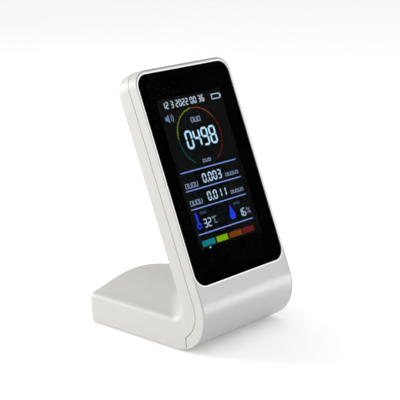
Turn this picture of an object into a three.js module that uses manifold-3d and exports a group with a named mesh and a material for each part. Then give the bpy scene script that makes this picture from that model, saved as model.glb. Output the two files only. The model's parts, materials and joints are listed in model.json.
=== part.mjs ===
// Desktop air quality monitor: a leaning display upright on a hollow foot, one L in side view.
// Millimetres, +Z up, front towards -Y. The origin is on the table, in the middle of the footprint.
import * as THREE from 'three';
import { mergeVertices } from 'three/addons/utils/BufferGeometryUtils.js';
import Module from 'manifold-3d';

const wasm = await Module();
wasm.setup();

// ---- Driving dimensions ------------------------------------------------------------------------
const WIDTH = 76;
const LEAN = THREE.MathUtils.degToRad(20); // the upright leans back from the vertical
const CHIN_RADIUS = 23.4; // the front rolls under to the table on this radius
const PANEL_HEIGHT = 134.4; // from the end of the chin's roll to the top edge, along the front
const THICKNESS = 16.7; // upright, front plane to back
const FOOT_REAR = 76.1; // back of the foot, from the line where the chin would touch the table
const FOOT_MIDDLE_HEIGHT = 25.1; // top of the foot along its middle
const FOOT_FLANK_HEIGHT = 18.9; // and where its arch ends, near the side walls
const ARCH_HALF = 34; // the arch reaches this far across
const ARCH_POWER = 1.15; // above 1, the arch is narrower than a plain cosine
const SHOULDER_RADIUS = 5; // from there it rounds down to the side walls
const BLEND_SIDE = 8; // radius of the inner corner at the side walls
const BLEND_MIDDLE = 26; // and in the middle
const CORNER_RADIUS = 9.5; // top corners, seen from the front
const PLAN_RADIUS = 3; // upright rear corners of the foot, seen from above
const EDGE_RADIUS = 1.2; // small rounding along every outer edge
const HEEL_RADIUS = 1.8; // lower rear edge of the foot
const TOP_CROWN = 0.8; // the top face bulges by this
const WALL = 2; // shell walls
const SEAM = 0.3; // gap between shells
const BAND = 6.8; // depth of the front shell's side band
const COVER_THICKNESS = 2.45; // silver front cover
const COVER_INSET = 0.65; // cover's edge inside the outer outline
const GAP_Y = -8.3; // front shell and foot meet here, under the chin
const GAP = 0.6; // across a slightly wider joint
const PAD_PROUD = 0.6; // rubber pads below the foot

// Lens and display, measured along the front face from the end of the chin's roll
const LENS = { half: 36.5, bottom: 9.1, top: 132.05, corner: 7.5, near: 0.05, far: 0.85 };
const ACTIVE = { half: 26, bottom: 28.2, top: 116.4 };
const MASK = { near: 0.98, far: 1.1 };
const GLASS = { half: 28.5, bottom: 24.6, top: 121, near: 1.4, far: 2.9 };
const BACKLIGHT = { near: 3.1, far: 5.6 };
const FRAME = { half: 33, bottom: 20, top: 125.2, near: 4.5, far: 7.4 };
const BOARD = { half: 33, bottom: 13, top: 125.2, near: 8.2, far: 9.8 };

// Back of the upright
const VENT = { count: 12, pitch: 3.6, first: 58, half: 18, height: 1.8 };
const BUTTON = { radius: 4, across: 16, up: 116, proud: 0.7 };
const TOP_SCREW = { across: 27, up: 128.8 };

// Foot
const USB = { half: 4.5, height: 3.2, depth: 7.3, floor: 9 };
const BASE = { half: 35.7, front: -5.8, rear: 73.8, low: 0.3, high: 2.3 };
const BASE_SCREW = { across: 20, ys: [4, 65] };
const PAD = { radius: 4.5, across: 29.5, ys: [1, 67.5] };
const BATTERY = { half: 25, front: 18, rear: 52, low: 3.4, high: 13.4 };

const HALF = WIDTH / 2;
const SIN = Math.sin(LEAN);
const COS = Math.cos(LEAN);
const FRONT_Y = -CHIN_RADIUS * COS; // where the flat front starts
const FRONT_Z = CHIN_RADIUS + CHIN_RADIUS * SIN;
const INNER_BACK = THICKNESS - WALL; // depth of the rear shell's inner face
const TAU = Math.PI * 2;

// ---- Materials ---------------------------------------------------------------------------------
function finish(color, roughness, metalness = 0) {
  return new THREE.MeshStandardMaterial({ color, roughness, metalness });
}

const WHITE = finish(0xe6e4dd, 0.42);
const SILVER = finish(0xcdcdcf, 0.36, 0.15);
const GLOSS_BLACK = finish(0x050607, 0.08);
const INK = finish(0x070808, 0.5);
const DISPLAY = finish(0x15181c, 0.2);
const DIFFUSER = finish(0xe9edf0, 0.6);
const DARK_PLASTIC = finish(0x2b2d30, 0.6);
const RUBBER = finish(0x3a3b3d, 0.9);
const BOARD_GREEN = finish(0x1d5c3a, 0.45);
const STEEL = finish(0xb4b6b9, 0.32, 0.9);
const BRASS = finish(0xc9a24a, 0.35, 0.8);
const FOIL = finish(0x9ea3aa, 0.4, 0.6);
const POLYIMIDE = finish(0xc07a28, 0.45);
const LEAD = finish(0x2a2a2c, 0.5);

// ---- Solids: joins and cuts --------------------------------------------------------------------
function solidOf(geometry) {
  const bare = geometry.clone();
  bare.deleteAttribute('normal');
  bare.deleteAttribute('uv');
  const merged = mergeVertices(bare, 1e-4);
  const vertProperties = new Float32Array(merged.attributes.position.array);
  const triVerts = new Uint32Array(merged.index.array);
  return new wasm.Manifold(new wasm.Mesh({ numProp: 3, vertProperties, triVerts }));
}

function geometryOf(solid) {
  const mesh = solid.getMesh();
  const geometry = new THREE.BufferGeometry();
  geometry.setAttribute('position', new THREE.BufferAttribute(mesh.vertProperties, 3));
  geometry.setIndex(new THREE.BufferAttribute(mesh.triVerts, 1));
  return geometry;
}

function shaped(base, added, removed) {
  let solid = solidOf(base);
  for (const piece of added) {
    solid = solid.add(solidOf(piece));
  }
  for (const piece of removed) {
    solid = solid.subtract(solidOf(piece));
  }
  return geometryOf(solid);
}

// ---- Basic geometry ----------------------------------------------------------------------------
/** A block between two corners. */
function block(x0, x1, y0, y1, z0, z1) {
  const geometry = new THREE.BoxGeometry(x1 - x0, y1 - y0, z1 - z0);
  return geometry.translate((x0 + x1) / 2, (y0 + y1) / 2, (z0 + z1) / 2);
}

function roundedRect(x0, x1, y0, y1, r) {
  const shape = new THREE.Shape();
  shape.moveTo(x0 + r, y0);
  shape.lineTo(x1 - r, y0);
  shape.absarc(x1 - r, y0 + r, r, -TAU / 4, 0);
  shape.lineTo(x1, y1 - r);
  shape.absarc(x1 - r, y1 - r, r, 0, TAU / 4);
  shape.lineTo(x0 + r, y1);
  shape.absarc(x0 + r, y1 - r, r, TAU / 4, TAU / 2);
  shape.lineTo(x0, y0 + r);
  shape.absarc(x0 + r, y0 + r, r, TAU / 2, TAU * 0.75);
  return shape;
}

/** A shape in the XY plane, given thickness from z0 to z1. */
function prism(shape, z0, z1, curveSegments = 4) {
  const geometry = new THREE.ExtrudeGeometry(shape, { depth: z1 - z0, bevelEnabled: false, curveSegments });
  return geometry.translate(0, 0, z0);
}

/** A round post along Z. */
function post(x, y, z0, z1, radius, sides = 16) {
  const geometry = new THREE.CylinderGeometry(radius, radius, z1 - z0, sides);
  geometry.rotateX(TAU / 4);
  return geometry.translate(x, y, (z0 + z1) / 2);
}

/** Joins outlines of equal length, one at each x, into a closed body. Outlines lie in the YZ plane. */
function loft(stations, outlineAt) {
  const rings = stations.map(outlineAt);
  const outlinePoints = rings.map((ring) => ring.map(([y, z]) => new THREE.Vector2(y, z)));
  if (THREE.ShapeUtils.isClockWise(outlinePoints[0])) {
    rings.forEach((ring) => ring.reverse());
    outlinePoints.forEach((ring) => ring.reverse());
  }
  const size = rings[0].length;
  const positions = [];
  rings.forEach((ring, i) => {
    ring.forEach(([y, z]) => positions.push(stations[i], y, z));
  });
  const index = [];
  for (let i = 0; i + 1 < rings.length; i += 1) {
    for (let j = 0; j < size; j += 1) {
      const next = (j + 1) % size;
      const a = i * size + j;
      const b = i * size + next;
      index.push(a, b, b + size, a, b + size, a + size);
    }
  }
  const last = rings.length - 1;
  for (const [a, b, c] of THREE.ShapeUtils.triangulateShape(outlinePoints[0], [])) {
    index.push(a, c, b);
  }
  for (const [a, b, c] of THREE.ShapeUtils.triangulateShape(outlinePoints[last], [])) {
    index.push(last * size + a, last * size + b, last * size + c);
  }
  const geometry = new THREE.BufferGeometry();
  geometry.setAttribute('position', new THREE.Float32BufferAttribute(positions, 3));
  geometry.setIndex(index);
  return geometry;
}

// ---- The upright's own frame: X across, Y up the front face, Z out of the front face ------------
const panelMatrix = new THREE.Matrix4()
  .makeTranslation(0, FRONT_Y, FRONT_Z)
  .multiply(new THREE.Matrix4().makeRotationX(TAU / 4 - LEAN));

function onPanel(geometry) {
  return geometry.applyMatrix4(panelMatrix);
}

/** Depth is counted from the front plane towards the back. */
function plate(shape, near, far, curveSegments) {
  return prism(shape, -far, -near, curveSegments);
}

function peg(x, up, near, far, radius, sides) {
  return post(x, up, -far, -near, radius, sides);
}

// ---- Side outlines -----------------------------------------------------------------------------
/** Point of the YZ plane at a height up the front face and a depth behind it. */
function at(up, depth) {
  return [FRONT_Y + up * SIN + depth * COS, FRONT_Z + up * COS - depth * SIN];
}

function arc(y, z, radius, from, to, steps) {
  const points = [];
  for (let i = 0; i <= steps; i += 1) {
    const angle = from + ((to - from) * i) / steps;
    points.push([y + radius * Math.cos(angle), z + radius * Math.sin(angle)]);
  }
  return points;
}

/** How far a rounded outline has fallen back at x, for a corner centred `radius` inside the side. */
function cornerDrop(x, radius, inset) {
  const past = Math.max(0, Math.abs(x) - (HALF - radius));
  const r = radius - inset;
  return r - Math.sqrt(Math.max(0, r * r - past * past));
}

function crown(depth) {
  const t = (2 * depth) / THICKNESS - 1;
  return TOP_CROWN * Math.max(0, 1 - t * t);
}

function footHeight(x) {
  const across = Math.min(1, Math.abs(x) / ARCH_HALF);
  const past = Math.max(0, Math.abs(x) - ARCH_HALF);
  const arch = Math.max(0, Math.cos((across * Math.PI) / 2)) ** ARCH_POWER;
  const shoulder = SHOULDER_RADIUS - Math.sqrt(SHOULDER_RADIUS ** 2 - past ** 2);
  return FOOT_FLANK_HEIGHT + (FOOT_MIDDLE_HEIGHT - FOOT_FLANK_HEIGHT) * arch - shoulder;
}

function blendRadius(x) {
  return BLEND_SIDE + (BLEND_MIDDLE - BLEND_SIDE) * (1 - (x / HALF) ** 2);
}

const FRONT_ANGLE = Math.PI - LEAN; // where the chin's arc meets the flat front

/** Angle on an arc about the chin's centre where it crosses a given y, below the centre. */
function angleAtY(radius, y) {
  return Math.PI + Math.acos(-y / radius);
}

/** Back of the L: up the foot's rear, over it, round the inner corner, up the back and over the top. */
function backPath(x, inset, wall, seamDepth) {
  const top = footHeight(x) - inset;
  const rear = FOOT_REAR - inset - cornerDrop(x, PLAN_RADIUS, wall);
  const back = THICKNESS - inset;
  const footEdge = 3.2 - wall;
  const topEdge = 2.6 - wall;
  const cornerUp = (top - FRONT_Z + back * SIN) / COS;
  const [cornerY] = at(cornerUp, back);
  const radius = blendRadius(x) + inset;
  const reach = radius / Math.tan((TAU / 4 - LEAN) / 2);
  const summit = PANEL_HEIGHT - inset - cornerDrop(x, CORNER_RADIUS, wall);
  const points = arc(rear - footEdge, top - footEdge, footEdge, 0, TAU / 4, 2);
  points.push(...arc(cornerY + reach, top + radius, radius, TAU * 0.75, FRONT_ANGLE, 7));
  for (let i = 0; i <= 2; i += 1) {
    const angle = ((TAU / 4) * i) / 2;
    const depth = back - topEdge + topEdge * Math.cos(angle);
    points.push(at(summit - topEdge + topEdge * Math.sin(angle) + crown(depth), depth));
  }
  for (const depth of [(seamDepth + back) / 2, seamDepth]) {
    points.push(at(summit + crown(depth), depth));
  }
  return points;
}

const REAR_SEAM = BAND + SEAM / 2;
const REAR_GAP_Y = GAP_Y + GAP / 2;

/** Rounding inset near the outer sides. */
function edgeInset(x) {
  return cornerDrop(x, EDGE_RADIUS, 0);
}

function rearShellOutline(x) {
  const inset = edgeInset(x);
  const inner = CHIN_RADIUS - REAR_SEAM;
  const outer = CHIN_RADIUS - inset;
  const rear = FOOT_REAR - inset - cornerDrop(x, PLAN_RADIUS, 0);
  const points = backPath(x, inset, 0, REAR_SEAM);
  points.push(...arc(0, CHIN_RADIUS, inner, FRONT_ANGLE, angleAtY(inner, REAR_GAP_Y), 5));
  points.push(...arc(0, CHIN_RADIUS, outer, angleAtY(outer, REAR_GAP_Y), TAU * 0.75, 2));
  points.push(...arc(rear - HEEL_RADIUS, inset + HEEL_RADIUS, HEEL_RADIUS, TAU * 0.75, TAU, 2));
  return points;
}

function rearCavityOutline(x) {
  const inner = CHIN_RADIUS - REAR_SEAM - WALL;
  const front = REAR_GAP_Y + WALL;
  const points = backPath(x, WALL, WALL, REAR_SEAM + WALL);
  points.push(...arc(0, CHIN_RADIUS, inner, FRONT_ANGLE, angleAtY(inner, front), 4));
  points.push([front, -1], [FOOT_REAR - WALL - cornerDrop(x, PLAN_RADIUS, WALL), -1]);
  return points;
}

/** The J of the front: a layer from one depth to another, down the front and under the chin. */
function frontLayer(x, near, far, inset, endY) {
  const summit = PANEL_HEIGHT - inset - cornerDrop(x, CORNER_RADIUS, inset);
  const points = [at(summit + crown(near), near), at(summit + crown(far), far)];
  const inner = CHIN_RADIUS - far;
  const outer = CHIN_RADIUS - near;
  points.push(...arc(0, CHIN_RADIUS, inner, FRONT_ANGLE, angleAtY(inner, endY), 6));
  points.push(...arc(0, CHIN_RADIUS, outer, angleAtY(outer, endY), FRONT_ANGLE, 8));
  return points;
}

const FINE_CORNER = [28, 50, 68, 80, 90];
const COARSE_CORNER = [35, 65, 90];

/** Stations across the width, closer together at the rounded sides, out to `reach` on each side. */
function stationsTo(reach, middle, cornerAngles) {
  const inset = HALF - reach;
  const radius = CORNER_RADIUS - inset;
  const right = [...middle, HALF - CORNER_RADIUS];
  for (const angle of cornerAngles) {
    right.push(HALF - CORNER_RADIUS + radius * Math.sin(THREE.MathUtils.degToRad(angle)));
  }
  const left = right.filter((x) => x > 0).map((x) => -x).reverse();
  return [...left, ...right];
}

// ---- Shells ------------------------------------------------------------------------------------
function upSlot(half, up, height) {
  return roundedRect(-half, half, up - height / 2, up + height / 2, height / 2 - 0.01);
}

function buttonX(i) {
  return (i - 1) * BUTTON.across;
}

function rearShell() {
  const outer = loft(stationsTo(HALF, [0, 9, 19], FINE_CORNER), rearShellOutline);
  const cavity = loft(stationsTo(HALF - WALL, [0, 14], COARSE_CORNER), rearCavityOutline);
  const added = [];
  const removed = [];
  const mouth = roundedRect(-HALF + WALL, HALF - WALL, 2, PANEL_HEIGHT - WALL, CORNER_RADIUS - WALL);
  removed.push(onPanel(plate(mouth, BAND - 2, REAR_SEAM + WALL + 1)));
  for (let i = 0; i < VENT.count; i += 1) {
    const slot = upSlot(VENT.half, VENT.first + i * VENT.pitch, VENT.height);
    removed.push(onPanel(plate(slot, INNER_BACK - 1, THICKNESS + 1, 2)));
  }
  for (let i = 0; i < 3; i += 1) {
    removed.push(
      onPanel(peg(buttonX(i), BUTTON.up, INNER_BACK - 1, THICKNESS + 1, BUTTON.radius + 0.3, 14)),
    );
  }
  for (const side of [-1, 1]) {
    const x = side * TOP_SCREW.across;
    added.push(onPanel(peg(x, TOP_SCREW.up, 11.6, INNER_BACK + 0.5, 3.3)));
    removed.push(onPanel(peg(x, TOP_SCREW.up, 11, THICKNESS, 1.35, 12)));
    removed.push(onPanel(peg(x, TOP_SCREW.up, 15, THICKNESS + 2, 2.8)));
    for (const y of BASE_SCREW.ys) {
      const boss = solidOf(post(side * BASE_SCREW.across, y, BASE.high + SEAM, FRONT_Z, 3.2, 12));
      added.push(geometryOf(boss.intersect(solidOf(outer))));
      removed.push(post(side * BASE_SCREW.across, y, 1, 11, 1.2, 10));
    }
  }
  const port = roundedRect(
    -USB.half - 0.4, USB.half + 0.4, USB.floor - 0.4, USB.floor + USB.height + 0.4, 1.9,
  );
  removed.push(prism(port, -FOOT_REAR - 1, -FOOT_REAR + WALL + 1).rotateX(TAU / 4));
  const body = solidOf(outer).subtract(solidOf(cavity));
  return shaped(geometryOf(body), added, removed);
}

function frontShell() {
  const end = GAP_Y - GAP / 2;
  const rim = COVER_INSET - 0.25; // wall of the thin lip round the cover
  const slab = loft(stationsTo(HALF, [], FINE_CORNER), (x) => frontLayer(x, 0.05, BAND - SEAM / 2, 0, end));
  const coverSeat = loft(
    stationsTo(HALF - rim, [], FINE_CORNER),
    (x) => frontLayer(x, -3, COVER_THICKNESS + 0.25, rim, end + 3),
  );
  const inside = loft(
    stationsTo(HALF - WALL, [], COARSE_CORNER),
    (x) => frontLayer(x, COVER_THICKNESS + 1.75, BAND + 2, WALL, end - WALL),
  );
  const window = roundedRect(-GLASS.half - 0.7, GLASS.half + 0.7, GLASS.bottom - 0.4, GLASS.top + 0.5, 1);
  const added = [];
  const removed = [onPanel(plate(window, 0, 9))];
  for (const side of [-1, 1]) {
    const x = side * TOP_SCREW.across;
    added.push(onPanel(peg(x, TOP_SCREW.up, 4, 11.3, 2.9)));
    removed.push(onPanel(peg(x, TOP_SCREW.up, 5, 12, 1.35, 12)));
  }
  const body = solidOf(slab).subtract(solidOf(coverSeat)).subtract(solidOf(inside));
  return shaped(geometryOf(body), added, removed);
}

function frontCover() {
  const end = GAP_Y - GAP / 2;
  const skin = loft(
    stationsTo(HALF - COVER_INSET, [], FINE_CORNER),
    (x) => frontLayer(x, 0, COVER_THICKNESS, COVER_INSET, end),
  );
  const play = 0.2;
  const pocket = roundedRect(
    -LENS.half - play, LENS.half + play, LENS.bottom - play, LENS.top + play, LENS.corner + play,
  );
  const window = roundedRect(
    -LENS.half + 2, LENS.half - 2, LENS.bottom + 2, LENS.top - 2, LENS.corner - 2,
  );
  const removed = [onPanel(plate(pocket, -1, MASK.far + 0.25)), onPanel(plate(window, 0, 5))];
  return shaped(skin, [], removed);
}

// ---- Display stack -----------------------------------------------------------------------------
function lensPlate() {
  const outline = roundedRect(-LENS.half, LENS.half, LENS.bottom, LENS.top, LENS.corner);
  return plate(outline, LENS.near, LENS.far, 6);
}

function maskSheet() {
  const edge = 0.3;
  const outline = roundedRect(
    -LENS.half + edge, LENS.half - edge, LENS.bottom + edge, LENS.top - edge, LENS.corner - edge,
  );
  outline.holes.push(roundedRect(-ACTIVE.half, ACTIVE.half, ACTIVE.bottom, ACTIVE.top, 0.5));
  return plate(outline, MASK.near, MASK.far, 3);
}

function displayFrame() {
  const outline = roundedRect(-FRAME.half, FRAME.half, FRAME.bottom, FRAME.top, 2);
  outline.holes.push(
    roundedRect(-GLASS.half - 0.35, GLASS.half + 0.35, GLASS.bottom - 0.35, GLASS.top + 0.35, 0.5),
  );
  const posts = [];
  const removed = [];
  for (const [x, up] of boardScrewSpots()) {
    posts.push(peg(x, up, FRAME.far - 0.5, BOARD.near - 0.3, 2, 12));
    removed.push(peg(x, up, FRAME.near + 1, BOARD.near, 1, 8));
  }
  removed.push(block(-7, 7, FRAME.bottom - 1, GLASS.bottom, -FRAME.far - 1, -FRAME.near + 1));
  return shaped(plate(outline, FRAME.near, FRAME.far, 2), posts, removed);
}

function boardScrewSpots() {
  const spots = [];
  for (const x of [-30.8, 30.8]) {
    spots.push([x, BOARD.bottom + 12], [x, BOARD.top - 3]);
  }
  return spots;
}

/** Flat flexible cable: leaves the foot of the display and curls back to the front of the board. */
function displayRibbon() {
  const thick = 0.15;
  const path = new THREE.CubicBezierCurve(
    new THREE.Vector2(FRAME.near, GLASS.bottom - 0.2),
    new THREE.Vector2(FRAME.near + 0.4, FRAME.bottom - 2),
    new THREE.Vector2(FRAME.near + 1.5, BOARD.bottom + 2.5),
    new THREE.Vector2(BOARD.near - 0.25, BOARD.bottom + 4),
  );
  const front = path.getPoints(8);
  const back = front.map((p, i) => {
    const tangent = path.getTangent(i / 8);
    return new THREE.Vector2(p.x - tangent.y * thick, p.y + tangent.x * thick);
  });
  const ribbon = prism(new THREE.Shape([...front, ...back.reverse()]), -6, 6);
  // the outline is drawn as depth and height; this lays depth back and the width across
  const turn = new THREE.Matrix4().set(0, 0, 1, 0, 0, 1, 0, 0, -1, 0, 0, 0, 0, 0, 0, 1);
  return ribbon.applyMatrix4(turn);
}

// ---- Board and what sits on it -----------------------------------------------------------------
function mainBoard() {
  const outline = roundedRect(-BOARD.half, BOARD.half, BOARD.bottom, BOARD.top, 1.5);
  for (const [x, up] of boardScrewSpots()) {
    const hole = new THREE.Path();
    hole.absarc(x, up, 1.2, 0, TAU, true);
    outline.holes.push(hole);
  }
  return plate(outline, BOARD.near, BOARD.far, 2);
}

/** A module soldered to the back of the board: a block with a lid of another size. */
function moduleBox(x, up, width, height, depth, corner = 0.5) {
  const near = BOARD.far + 0.25;
  const outline = roundedRect(x - width / 2, x + width / 2, up - height / 2, up + height / 2, corner);
  return plate(outline, near, near + depth, 2);
}

function co2Sensor() {
  const near = BOARD.far + 0.25;
  const base = moduleBox(-14, 70, 22, 15, 1.2);
  const chamber = plate(roundedRect(-23.5, -6, 64, 76, 2), near + 1, near + 3.7, 3);
  const membrane = plate(roundedRect(-19, -10.5, 67, 73, 1.5), near + 3.5, near + 3.95, 3);
  return shaped(base, [chamber, membrane], []);
}

/** Round gas sensor can with a recessed mesh face. */
function gasSensor(x, up, radius) {
  const near = -(BOARD.far + 0.25);
  const depth = 3.6;
  const profile = [
    [0, 0], [radius, 0], [radius, -0.6], [radius - 0.5, -0.6], [radius - 0.5, -depth],
    [radius - 1.3, -depth], [radius - 1.3, -depth + 0.5], [0, -depth + 0.5],
  ];
  const can = new THREE.LatheGeometry(profile.map(([r, y]) => new THREE.Vector2(r, y)).reverse(), 16);
  return can.rotateX(TAU / 4).translate(x, up, near);
}

function buzzer() {
  const body = peg(22, 34, BOARD.far + 0.25, BOARD.far + 4.1, 4.5, 18);
  return shaped(body, [], [peg(22, 34, BOARD.far + 3, BOARD.far + 5, 0.9, 8)]);
}

function tactSwitch(i) {
  const base = moduleBox(buttonX(i), BUTTON.up, 6, 6, 2.1);
  const plunger = peg(buttonX(i), BUTTON.up, BOARD.far + 2, BOARD.far + 3.1, 1.7, 12);
  return shaped(base, [plunger], []);
}

/** Push button: a domed cap through the shell, a collar that keeps it in, and a stem. */
function button() {
  const cap = BUTTON.radius;
  const face = -(THICKNESS + BUTTON.proud);
  const profile = [
    [0, face], [cap - 0.5, face + 0.25], [cap, face + 0.8],
    [cap, -INNER_BACK + 0.2], [cap + 1, -INNER_BACK + 0.2], [cap + 1, -INNER_BACK + 0.7],
    [1.5, -INNER_BACK + 0.7], [1.5, -INNER_BACK + 0.95], [0, -INNER_BACK + 0.95],
  ];
  const body = new THREE.LatheGeometry(profile.map(([r, y]) => new THREE.Vector2(r, y)), 14);
  return body.rotateX(TAU / 4);
}

function ventMesh() {
  const top = VENT.first + (VENT.count - 1) * VENT.pitch;
  const outline = roundedRect(-VENT.half - 3, VENT.half + 3, VENT.first - 4, top + 4, 2);
  return plate(outline, INNER_BACK - 0.5, INNER_BACK - 0.2, 2);
}

// ---- Fasteners ---------------------------------------------------------------------------------
/** Pan-head screw along -Z: head above z = 0, shank below, a hexagon recess in the head. */
function screw(headRadius, headHeight, shankRadius, length) {
  const profile = [
    [0, -length], [shankRadius, -length + 0.8], [shankRadius, 0],
    [headRadius, 0], [headRadius, headHeight * 0.5], [headRadius * 0.7, headHeight], [0, headHeight],
  ];
  const body = new THREE.LatheGeometry(profile.map(([r, y]) => new THREE.Vector2(r, y)), 10);
  body.rotateX(TAU / 4);
  const recess = post(0, 0, headHeight * 0.4, headHeight + 1, headRadius * 0.42, 6);
  return shaped(body, [], [recess]);
}

// ---- Foot --------------------------------------------------------------------------------------
function baseCover() {
  const outline = roundedRect(-BASE.half, BASE.half, BASE.front, BASE.rear, 0.8);
  const removed = [];
  const added = [];
  for (const side of [-1, 1]) {
    for (const y of BASE_SCREW.ys) {
      removed.push(post(side * BASE_SCREW.across, y, 0, 3, 1.5, 12));
      removed.push(post(side * BASE_SCREW.across, y, 0, 1.5, 2.7, 12));
    }
    for (const y of PAD.ys) {
      removed.push(post(side * PAD.across, y, 0, 1.2, PAD.radius + 0.3, 16));
    }
    added.push(post(side * 8, 61.5, BASE.high - 0.5, USB.floor - 2.15, 2, 12));
    removed.push(post(side * 8, 61.5, BASE.high, USB.floor, 0.85, 8));
    // a rib each side keeps the battery from sliding
    const edge = side * (BATTERY.half + 1.1);
    added.push(block(edge - 0.6, edge + 0.6, BATTERY.front + 4, BATTERY.rear - 4, BASE.high - 0.5, 7));
  }
  return shaped(prism(outline, BASE.low, BASE.high, 3), added, removed);
}

function footPad() {
  const r = PAD.radius;
  const profile = [
    [0, -PAD_PROUD], [r - 0.6, -PAD_PROUD], [r - 0.1, -PAD_PROUD + 0.35], [r, 0.9], [0, 0.9],
  ];
  const pad = new THREE.LatheGeometry(profile.map(([x, y]) => new THREE.Vector2(x, y)), 16);
  return pad.rotateX(TAU / 4);
}

/** Lithium pouch cell with a taped protection strip at its rear end. */
function battery() {
  const { half, front, rear, low, high } = BATTERY;
  const pouch = prism(roundedRect(-half, half, low, high, 1.8), -rear, -front, 3).rotateX(TAU / 4);
  const strip = block(-half + 3, half - 3, rear - 1, rear + 2.2, low + 3, high - 3);
  return shaped(pouch, [strip], []);
}

function usbBoard() {
  const outline = roundedRect(-11, 11, 58, FOOT_REAR - WALL - 0.5, 1);
  for (const x of [-8, 8]) {
    const hole = new THREE.Path();
    hole.absarc(x, 61.5, 1.1, 0, TAU, true);
    outline.holes.push(hole);
  }
  return prism(outline, USB.floor - 1.85, USB.floor - 0.25, 2);
}

function usbSocket() {
  const rear = FOOT_REAR - 1;
  const front = rear - USB.depth;
  const shell = roundedRect(-USB.half, USB.half, USB.floor, USB.floor + USB.height, 1.55);
  const mouth = roundedRect(
    -USB.half + 0.35, USB.half - 0.35, USB.floor + 0.35, USB.floor + USB.height - 0.35, 1.2,
  );
  const can = prism(shell, -rear, -front).rotateX(TAU / 4);
  const hollow = prism(mouth, -rear - 1, -front - 1.2).rotateX(TAU / 4);
  const middle = USB.floor + USB.height / 2;
  const tongue = block(-3.3, 3.3, front + 1, rear - 0.8, middle - 0.35, middle + 0.35);
  const body = solidOf(can).subtract(solidOf(hollow)).add(solidOf(tongue));
  return geometryOf(body);
}

/** A round lead through hand-laid points. */
function lead(points, radius, steps) {
  const curve = new THREE.CatmullRomCurve3(points.map((p) => new THREE.Vector3(...p)));
  const section = new THREE.Shape();
  for (let i = 0; i < 8; i += 1) {
    const angle = (TAU * i) / 8;
    section[i === 0 ? 'moveTo' : 'lineTo'](radius * Math.cos(angle), radius * Math.sin(angle));
  }
  return new THREE.ExtrudeGeometry(section, { steps, extrudePath: curve, bevelEnabled: false });
}

// ---- Assembly ----------------------------------------------------------------------------------
const monitor = new THREE.Group();
const device = new THREE.Group();
device.position.set(0, -(FOOT_REAR - CHIN_RADIUS) / 2, PAD_PROUD);
monitor.add(device);
const panel = new THREE.Group();
panel.applyMatrix4(panelMatrix);
device.add(panel);

function place(parent, name, geometry, material, x = 0, y = 0, z = 0) {
  const mesh = new THREE.Mesh(geometry, material);
  mesh.name = name;
  mesh.position.set(x, y, z);
  parent.add(mesh);
  return mesh;
}

place(device, 'rear_shell', rearShell(), WHITE);
place(device, 'front_shell', frontShell(), WHITE);
place(device, 'front_cover', frontCover(), SILVER);

place(panel, 'display_lens', lensPlate(), GLOSS_BLACK);
place(panel, 'display_mask', maskSheet(), INK);
const glass = roundedRect(-GLASS.half, GLASS.half, GLASS.bottom, GLASS.top, 0.4);
place(panel, 'lcd_panel', plate(glass, GLASS.near, GLASS.far, 1), DISPLAY);
place(panel, 'lcd_backlight', plate(glass, BACKLIGHT.near, BACKLIGHT.far, 1), DIFFUSER);
place(panel, 'display_frame', displayFrame(), DARK_PLASTIC);
place(panel, 'display_ribbon', displayRibbon(), POLYIMIDE);

place(panel, 'main_board', mainBoard(), BOARD_GREEN);
place(panel, 'processor_chip', moduleBox(8, 45, 10, 10, 1.2), DARK_PLASTIC);
place(panel, 'co2_sensor', co2Sensor(), BRASS);
place(panel, 'formaldehyde_sensor', gasSensor(9, 92, 5), STEEL);
place(panel, 'tvoc_sensor', gasSensor(10, 70, 4.2), STEEL);
place(panel, 'temp_humidity_sensor', moduleBox(-14, 92, 4, 4, 1.4), DARK_PLASTIC);
place(panel, 'buzzer', buzzer(), DARK_PLASTIC);
place(panel, 'vent_mesh', ventMesh(), LEAD);
boardScrewSpots().forEach(([x, up], i) => {
  const piece = place(
    panel, `board_screw_${i + 1}`, screw(1.9, 1.1, 0.8, 3.8), STEEL, x, up, -BOARD.far - 0.25,
  );
  piece.rotation.x = TAU / 2;
});
for (let i = 0; i < 3; i += 1) {
  place(panel, `tact_switch_${i + 1}`, tactSwitch(i), STEEL);
  place(panel, `button_${i + 1}`, button(), WHITE, buttonX(i), BUTTON.up);
}
[-1, 1].forEach((side, i) => {
  const x = side * TOP_SCREW.across;
  const piece = place(
    panel, `case_screw_${i + 1}`, screw(2.5, 1.2, 1.1, 8), STEEL, x, TOP_SCREW.up, -15.25,
  );
  piece.rotation.x = TAU / 2;
});

place(device, 'base_cover', baseCover(), WHITE);
let count = 0;
for (const side of [-1, 1]) {
  for (let i = 0; i < 2; i += 1) {
    count += 1;
    place(device, `foot_pad_${count}`, footPad(), RUBBER, side * PAD.across, PAD.ys[i]);
    const base = place(
      device, `base_screw_${count}`, screw(2.4, 0.9, 1, 7), STEEL,
      side * BASE_SCREW.across, BASE_SCREW.ys[i], 1.3,
    );
    base.rotation.x = TAU / 2;
  }
}
place(device, 'battery', battery(), FOIL);
place(device, 'usb_board', usbBoard(), BOARD_GREEN);
place(device, 'usb_socket', usbSocket(), STEEL);
[-1, 1].forEach((side, i) => {
  place(device, `usb_board_screw_${i + 1}`, screw(1.6, 0.9, 0.65, 4), STEEL, side * 8, 61.5, USB.floor);
});

const batteryLead = [[-6, 54.6, 8.6], [-6, 56.5, 10], [-5.6, 59, 10.2], [-5, 61.5, 9.9]];
place(device, 'battery_lead', lead(batteryLead, 0.8, 6), LEAD);
const boardLead = [
  [4, 61, 10.1], [4.5, 57.5, 12], [4.5, 54, 15.2], [4, 47, 15.6], [2, 30, 15.2],
  [0, 13, 16], [0, 3, 23], [0, -2.6, 33], [0, -5.2, 42],
];
place(device, 'board_lead', lead(boardLead, 1, 16), LEAD);

export default monitor;
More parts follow.
